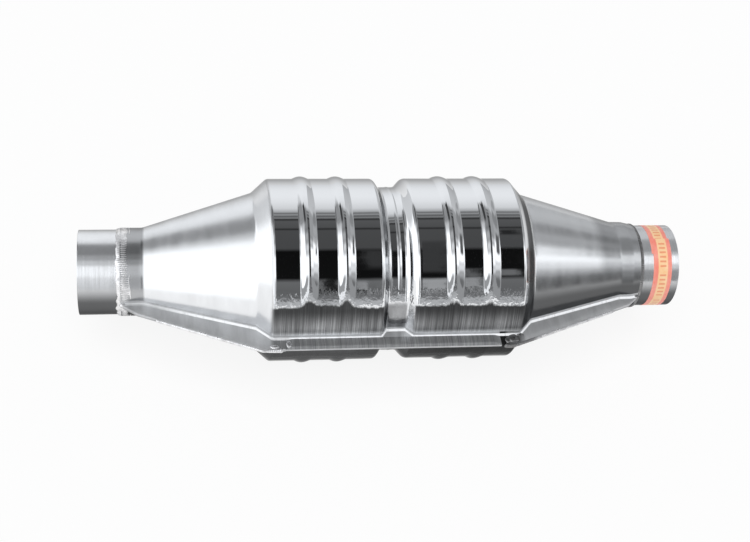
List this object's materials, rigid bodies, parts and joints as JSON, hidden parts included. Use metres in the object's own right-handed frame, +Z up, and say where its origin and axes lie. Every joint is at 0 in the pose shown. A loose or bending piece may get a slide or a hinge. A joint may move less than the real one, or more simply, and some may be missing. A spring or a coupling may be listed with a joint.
{
  "type": "catalytic converter",
  "caption": "Pressed steel exhaust catalytic converter with ribbed round chambers, a folded seam flange, tapered ends and a plain pipe stub at each end.",
  "frame": {"origin": "middle of the overall length, on the pipes' shared axis and in the plane of the seam", "axes": "+X along the gas flow from the inlet stub to the outlet stub, +Y level towards the far flange, +Z up through the crown of the upper shell"},
  "size_m": [0.432, 0.1548, 0.1346],
  "materials": {
    "pressed_stainless": "bright pressed stainless sheet, mirror-like on the crowns, scratched along the drawn walls",
    "tube_stainless": "satin stainless tube",
    "weld_metal": "rippled weld bead, dull with slight heat tint",
    "coated_ceramic": "matt fine-celled ceramic with a brown-grey coating",
    "fibre_mat": "matt fibre mat with mica flecks",
    "knitted_wire": "compressed knitted steel wire",
    "label_paper": "gloss printed strip, orange red with a yellow middle stripe"
  },
  "bodies": {
    "root": {"upper_shell": "pressed_stainless", "lower_shell": "pressed_stainless", "inlet_pipe": "tube_stainless", "outlet_pipe": "tube_stainless", "inlet_pipe_weld": "weld_metal", "outlet_pipe_weld": "weld_metal", "near_inlet_seam_weld": "weld_metal", "far_inlet_seam_weld": "weld_metal", "near_outlet_seam_weld": "weld_metal", "far_outlet_seam_weld": "weld_metal", "inlet_brick": "coated_ceramic", "outlet_brick": "coated_ceramic", "inlet_mat": "fibre_mat", "outlet_mat": "fibre_mat", "inlet_brick_front_seal": "knitted_wire", "inlet_brick_rear_seal": "knitted_wire", "outlet_brick_front_seal": "knitted_wire", "outlet_brick_rear_seal": "knitted_wire", "outlet_label": "label_paper"}
  },
  "joints": []
}
